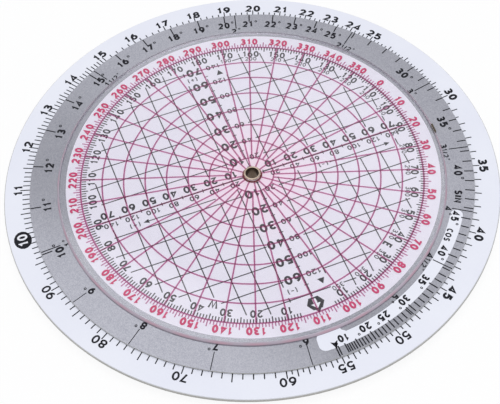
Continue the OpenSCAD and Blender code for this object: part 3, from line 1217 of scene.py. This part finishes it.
# %% [markdown]
# The seven rings stand for 10 to 70 knots, and one slightly heavier ring carries the degree ticks. Radials
# run every 10 degrees, but only every 30 inside the first ring. The ink reaches a hair into the clear disc,
# because real ink sticks to it without a film of air, and light inside the disc meets it.

# %% Red rose
rose_film, rose_grip = 0.02, 0.006
rose_ink_top = rose_back + rose_grip
rose_ink_low = rose_ink_top - rose_film
knot_step, knot_count, line_w, hub_gap_r = 6.59, 7, 0.46, 2.95
degree_r, degree_w, degree_tick_w = 52.73, 0.5, 0.32


def rings(name, count, step, stroke):
    """Red rings under the clear disc."""
    sizes = {"Count": count, "Step": step * MM, "Stroke": stroke * MM, "Thickness": rose_film * MM}
    middle = (rose_ink_top + rose_ink_low) / 2 * MM
    return grow(name, "rose", bpy.data.meshes.new(name), ring_tree, Height=middle, Ink=red_line_ink, **sizes)


rings("rose_knot_rings", knot_count, knot_step, line_w)
rings("rose_degree_ring", 1, degree_r, degree_w)
rose_bars = []
for degree in range(360):
    reach = 1.0 if degree % 10 == 0 else 1.95 if degree % 5 == 0 else 1.1
    rose_bars.append(radial_bar(rose_turn + degree, degree_r, degree_r + degree_w / 2 + reach, degree_tick_w))
for degree in range(0, 360, 10):
    inner = hub_gap_r if degree % 30 == 0 else knot_step
    rose_bars.append(radial_bar(rose_turn + degree, inner, degree_r, line_w))
lay_bars("rose_bars", "rose", rose_bars, rose_ink_low, red_line_ink, proud=rose_film, sink=0)

# %% [markdown]
# Red numerals stand outside the degree ring, one for every tenth degree, in the denser red.

# %% Rose numbers
rose_number_r, rose_number_h = 55.2, 2.65
rose_text = Print("rose_numbers", "rose", rose_ink_low + SINK, red_ink, proud=rose_film - SINK)
for degree in range(0, 360, 10):
    rose_text.ring_text(str(degree), rose_turn + degree, rose_number_r, rose_number_h, 0.25, 0.98)
rose_text.cure()

# %% [markdown]
# Seen from the side, the clear disc guides light along itself, and its sloping rim shows the red print: dark
# at its foot, pink by each numeral and lavender above. Following such light takes more bounces than a render
# gives, so this light, with painted shade at the foot, is painted on a hair-thin sleeve over the rim. A group
# finds the numerals: it is 1 at every tenth degree.

# %% Mask for every tenth degree
tens_in_radian, near_numeral, off_numeral = 18 / math.pi, 0.12, 0.42
decades, decades_in, decades_out = shader_group("every_tenth_degree", ["Start"], ["Mask"])
parts = add_node(decades, "ShaderNodeSeparateXYZ", {"Vector": decades_in["Vector"]}).outputs
bearing = calculate(decades, "ARCTAN2", parts["X"], parts["Y"])
tens = calculate(decades, "MULTIPLY", bearing, tens_in_radian)
from_zero = calculate(decades, "SUBTRACT", tens, decades_in["Start"])
apart = calculate(decades, "PINGPONG", from_zero, 0.5)
feed(decades, decades_out["Mask"], remap(decades, apart, off_numeral, near_numeral))
print("group:", decades.name)

# %% [markdown]
# The sleeve's painted light goes by height: painted shade at its foot, a painted pink reflection by each
# numeral and lavender between them on the slope, and paler at the top. Part of the mirror rays pass through
# above its foot, so that the silver beside it mirrors the sleeve only faintly.

# %% Painted light on the clear disc's edge
rim_land, rim_slope = 0.3, 0.6
foot_z, pale_z, passing_share = rose_back + 0.2, rose_back + 0.65, 0.42
# The sleeve's colours are painted light: the red print's reflection in the rim, with painted shade at the
# foot.
rim_painted_light, edge_shader, edge_tone = finish(
    "rim_painted_light", (182, 171, 184), (187, 176, 189), (0.3, 0.45), cloud=200
)
edge_tree = rim_painted_light.node_tree
numerals = use_group(edge_tree, decades, {"Start": rose_turn / 10})["Mask"]
numeral_reflection = mix_colours(edge_tree, numerals, edge_tone, colour(194, 160, 175))
edge_place = add_node(edge_tree, "ShaderNodeTexCoord").outputs["Object"]
edge_z = add_node(edge_tree, "ShaderNodeSeparateXYZ", {"Vector": edge_place}).outputs["Z"]
above_foot = remap(edge_tree, edge_z, foot_z * MM, (foot_z + rim_land) * MM)
near_top = remap(edge_tree, edge_z, pale_z * MM, rose_front * MM)
# Painted shade at the foot, painted reflection of the numerals, paler painted light near the top.
edge_mixed = mix_colours(edge_tree, above_foot, colour(146, 132, 145), numeral_reflection)
paint(rim_painted_light, mix_colours(edge_tree, near_top, edge_mixed, colour(198, 188, 200)))
pass_light(rim_painted_light, edge_shader, calculate(edge_tree, "MULTIPLY", above_foot, passing_share))
print("edge material:", rim_painted_light.name)

# %% [markdown]
# The sleeve follows the rim's land and slope a hundredth of a millimetre outside them. Its section is a loop
# of radius and height, swept round the axis. A dark red ring round the eyelet is made in the same way, as a
# thin film under the clear disc.

# %% Sleeve and hub ring, swept round the axis
sleeve_in, sleeve_out, sleeve_foot = rose_r - 0.06, rose_r + 0.012, rose_back + 0.02
slope_foot, slope_top_r = rose_back + rim_land, rose_r - rim_slope
hub_inner, hub_outer = 2.5, 3.08


def sweep_section(name, section, ink, count):
    """A closed ring of the rose disc with a section of radius and height."""
    ring, corners = Print(name, "rose", 0, ink), len(section)
    for k in range(count):
        a, b = corners * k, corners * ((k + 1) % count)
        for p, (radius, z) in enumerate(section):
            q = (p + 1) % corners
            ring.points.append((*around(360 * k / count, radius), z))
            ring.faces.append((a + p, b + p, b + q, a + q))
    return ring.cure()


sleeve_section = [
    (sleeve_in, sleeve_foot),
    (sleeve_out, sleeve_foot),
    (sleeve_out, slope_foot + 0.004),
    (slope_top_r + 0.015, rose_front - 0.004),
    (slope_top_r - 0.03, rose_front - 0.06),
    (sleeve_in, slope_foot - 0.04),
]
sweep_section("rose_edge_sleeve", sleeve_section, rim_painted_light, 240)
hub_ring_red, _, _ = finish("hub_ring_red", (120, 30, 42), (104, 26, 36), (0.4, 0.5), cloud=900)
hub_section = [(hub_inner, rose_ink_low), (hub_outer, rose_ink_low)]
hub_section += [(hub_outer, rose_ink_top), (hub_inner, rose_ink_top)]
sweep_section("rose_hub_ring", hub_section, hub_ring_red, 96)

# %% [markdown]
# The stub of the moulding gate was snapped off and is rough and dirty. A scar covers it on all its free
# sides.

# %% Gate scar
gate_turn, scar_h, scar_foot = 181.7, 1.0, rose_back + 0.02
scar_finish, _, _ = finish(
    "gate_scar", (92, 84, 68), (66, 60, 50), (0.6, 0.8), cloud=900, grain=5000, relief=0.4
)
scar = Print("rose_gate_scar", "rose", scar_foot, scar_finish, proud=scar_h)
scar_plan = [(-1.6, -0.52), (1.6, -0.52), (1.75, 0), (1.53, 0.115), (-1.53, 0.115), (-1.75, 0)]
scar.add(scar_plan, fan(scar_plan), *around(gate_turn, rose_r), gate_turn)
scar.cure()

# %% [markdown]
# ## The back
# The back isn't in the photo. A rule of this form has a base ring and a turning dial with matching log
# scales there, read through a clear cursor. The prints reuse the front's functions and are mirrored to read
# from behind. Two more rings of numbers on the base show in the windows of the dial.

# %% Back scales
back_number_r, back_number_h, dial_gap = 71.2, 2.8, 0.1
window_r, inner_window_r, window_number_h, window_weight = 45.2, 30.2, 2.6, 0.16
back_ticks = log_ticks(dial_r + dial_gap)[1:]
lay_bars("back_scale_ticks", "base", back_ticks, base_back, black_ink, mirror=True)
back_numbers = Print("back_scale_numbers", "base", base_back, black_ink, mirror=True)
log_numbers(back_numbers, back_number_r, back_number_h)
badge(back_numbers, back_number_r, 3.15, 2.5)
for radius, last in ((window_r, 100), (inner_window_r, 60)):
    for value in range(0, last, 5):
        back_numbers.ring_text(str(value), value * 360 / last, radius, window_number_h, window_weight)
back_numbers.cure()
back_digits = Print("back_index_digits", "base", base_back, white_ink, proud=overprint, mirror=True)
back_digits.ring_text("10", 0, back_number_r, 3.0, 0.19, 1.1)
back_digits.cure()

# %% [markdown]
# The computing dial carries the same decade, with its ticks at the rim and growing inward, so that the two
# scales meet.

# %% Computing dial print
dial_margin, dial_number_r, dial_number_h = 0.2, 62.9, 2.6
lay_bars("dial_ticks", "dial", log_ticks(dial_r - dial_margin, -1), dial_back, black_ink, mirror=True)
dial_numbers = Print("dial_numbers", "dial", dial_back, black_ink, mirror=True)
log_numbers(dial_numbers, dial_number_r, dial_number_h)
dial_numbers.ring_text("10", 0, dial_number_r, dial_number_h, 0.175, 1.06)
dial_numbers.cure()

# %% [markdown]
# The cursor's red hairline lies just inside the face next to the dial, so that it is read with little
# parallax. It is sunk into the clear bar, where it can't rub off.

# %% Cursor hairline
cursor_angle, hairline_inset, hairline_depth = 70.0, 0.02, 0.05
hairline_inner, hairline_outer, hairline_w = 17.0, 74.0, 0.2
_, cursor_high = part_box("cursor")
hairline_low = cursor_high.z / MM - hairline_inset - hairline_depth
hairline_bar = [radial_bar(cursor_angle, hairline_inner, hairline_outer, hairline_w)]
lay_bars("cursor_hairline", "hairline", hairline_bar, hairline_low, red_ink, proud=hairline_depth, sink=0)

# %% [markdown]
# ## Studio
# The photo is a plain product shot on white, lit softly from above. A pale floor catches the faint shadow.

# %% Floor
scene = bpy.context.scene
floor_half, floor_z = 3, -0.0001
floor_corners = [(x * floor_half, y * floor_half, floor_z) for x, y in ((-1, -1), (1, -1), (1, 1), (-1, 1))]
floor_mesh = bpy.data.meshes.new("floor")
floor_mesh.from_pydata(floor_corners, [], [(0, 1, 2, 3)])
floor = bpy.data.objects.new("floor", floor_mesh)
scene.collection.objects.link(floor)
floor_paint, floor_shader, _ = finish("floor_paint", (250, 250, 250), (248, 248, 248), (0.8, 0.9), cloud=3)
floor_mesh.materials.append(floor_paint)
print("floor:", floor.name, "with", floor_paint.name)

# %% [markdown]
# For rays that reach the camera the floor is lifted to white, also where metal and clear plastic show it.
# For diffuse rays it is lifted in part, which lights the back of the rule. From below it isn't there, so
# that the back can be looked at.

# %% White lift of the floor
lift_share, bounce_share = 0.88, 0.4


def seen_directly(tree):
    """1 for rays from the camera, from mirrors and through glass."""
    rays = add_node(tree, "ShaderNodeLightPath").outputs
    direct = rays["Is Camera Ray"]
    for kind in ("Is Glossy Ray", "Is Transmission Ray"):
        direct = calculate(tree, "MAXIMUM", direct, rays[kind])
    return direct


floor_tree = floor_paint.node_tree
diffuse_rays = add_node(floor_tree, "ShaderNodeLightPath").outputs["Is Diffuse Ray"]
direct_lift = calculate(floor_tree, "MULTIPLY", seen_directly(floor_tree), lift_share)
bounce_lift = calculate(floor_tree, "MULTIPLY", diffuse_rays, bounce_share)
lift = calculate(floor_tree, "ADD", direct_lift, bounce_lift)
white_glow = add_node(floor_tree, "ShaderNodeEmission").outputs["Emission"]
lifted = mix_shaders(floor_tree, lift, floor_shader.outputs["BSDF"], white_glow)
from_below = add_node(floor_tree, "ShaderNodeNewGeometry").outputs["Backfacing"]
nothing = add_node(floor_tree, "ShaderNodeBsdfTransparent").outputs["BSDF"]
use_surface(floor_tree, mix_shaders(floor_tree, from_below, lifted, nothing))
print("floor paint nodes:", len(floor_tree.nodes))

# %% [markdown]
# The room lights the rule evenly, and straight views of it are white. In mirrors its walls have soft bands
# of light and dark, stacked by height and leaning to one side, because the silver ring shows such bands.

# %% World
world = bpy.data.worlds.new("studio")
scene.world = world
world.use_nodes = True
world_tree = world.node_tree
room_light = world_tree.nodes["Background"]
room_light.inputs["Color"].default_value = (0.96, 0.97, 1, 1)
room_light.inputs["Strength"].default_value = 0.58
view_turn, wall_lean = math.radians(253.9808), 0.35
wall_up = Matrix.Rotation(view_turn, 3, "Z") @ Vector((-wall_lean, 0, 1))
direction = add_node(world_tree, "ShaderNodeTexCoord").outputs["Generated"]
height_inputs = {0: direction, 1: wall_up}
wall_height = add_node(world_tree, "ShaderNodeVectorMath", height_inputs, operation="DOT_PRODUCT")
walls = add_node(world_tree, "ShaderNodeValToRGB", {"Fac": wall_height.outputs["Value"]})
wall_levels = [(0, 0.58), (0.66, 0.56), (0.715, 0.57), (0.742, 0.86), (0.765, 0.84)]
wall_levels += [(0.79, 0.66), (0.815, 0.48), (0.858, 0.26), (0.868, 1), (1, 1)]
while len(walls.color_ramp.elements) < len(wall_levels):
    walls.color_ramp.elements.new(0.5)
for stop, (height, level) in zip(walls.color_ramp.elements, wall_levels):
    stop.position = height
    stop.color = (level, level, level, 1)
mirror_rays = add_node(world_tree, "ShaderNodeLightPath").outputs["Is Glossy Ray"]
wall_mix = {"Factor": mirror_rays, 2: 1, 3: walls.outputs["Color"]}
strength = add_node(world_tree, "ShaderNodeMix", wall_mix).outputs[0]
white_room = add_node(world_tree, "ShaderNodeBackground", {"Color": (1, 1, 1, 1), "Strength": strength})
room_views = room_light.outputs["Background"], white_room.outputs["Background"]
use_surface(world_tree, mix_shaders(world_tree, seen_directly(world_tree), *room_views), "World Output")
print("wall bands:", len(wall_levels))

# %% [markdown]
# One large panel hangs over the rule and gives the soft shadow. Its place is counted as the camera sees it:
# to the right, away and up. Mirrors don't see it, because its image would bleach the silver ring.

# %% Lamp
panel_size, panel_power = 0.9, 7.0
panel_place = Matrix.Rotation(view_turn, 3, "Z") @ Vector((0.05, -0.08, 1.15))
panel_light = bpy.data.lights.new("sky_panel", "AREA")
panel_light.size = panel_size
panel_light.energy = panel_power
panel = bpy.data.objects.new("sky_panel", panel_light)
panel.location = panel_place
panel.rotation_euler = (-panel_place).to_track_quat("-Z", "Y").to_euler()
panel.visible_glossy = False
scene.collection.objects.link(panel)
print(f"lamp: {panel.name} at {panel_place.z:.2f} m")

# %% [markdown]
# The camera was fitted to the photo: the rim, the ticks of the log scale and the radials of the rose fix its
# distance, height and turn. The rule stands turned so that its index points to the left of the picture. The
# picture was cut out of a wider one, which a sideways shift of the lens follows.

# %% Camera
focal_px, photo_width, side_px, sensor = 1271.46, 500, 30, 36
distance, elevation = 0.392616, math.radians(53.2975)
aim_pan, aim_tilt, aim_roll = math.radians(-2.0503), math.radians(35.542), math.radians(-0.9932)
camera_data = bpy.data.cameras.new("photo_camera")
camera_data.sensor_width = sensor
camera_data.lens = focal_px * sensor / photo_width
camera_data.shift_x = -side_px / photo_width
camera_data.clip_start = 0.01
camera = bpy.data.objects.new("photo_camera", camera_data)
scene.collection.objects.link(camera)
to_frame = Matrix.Rotation(view_turn, 4, "Z")
aim = Matrix.Rotation(aim_pan, 4, "Z") @ Matrix.Rotation(aim_tilt, 4, "X") @ Matrix.Rotation(aim_roll, 4, "Z")
stand = Vector((0, -distance * math.cos(elevation), distance * math.sin(elevation)))
lift_up = Matrix.Translation((0, 0, base_front * MM))
camera.matrix_world = lift_up @ to_frame @ Matrix.Translation(stand) @ aim
scene.camera = camera
scene.view_settings.view_transform = "Standard"
print(f"lens {camera_data.lens:.1f} mm at {distance:.3f} m")
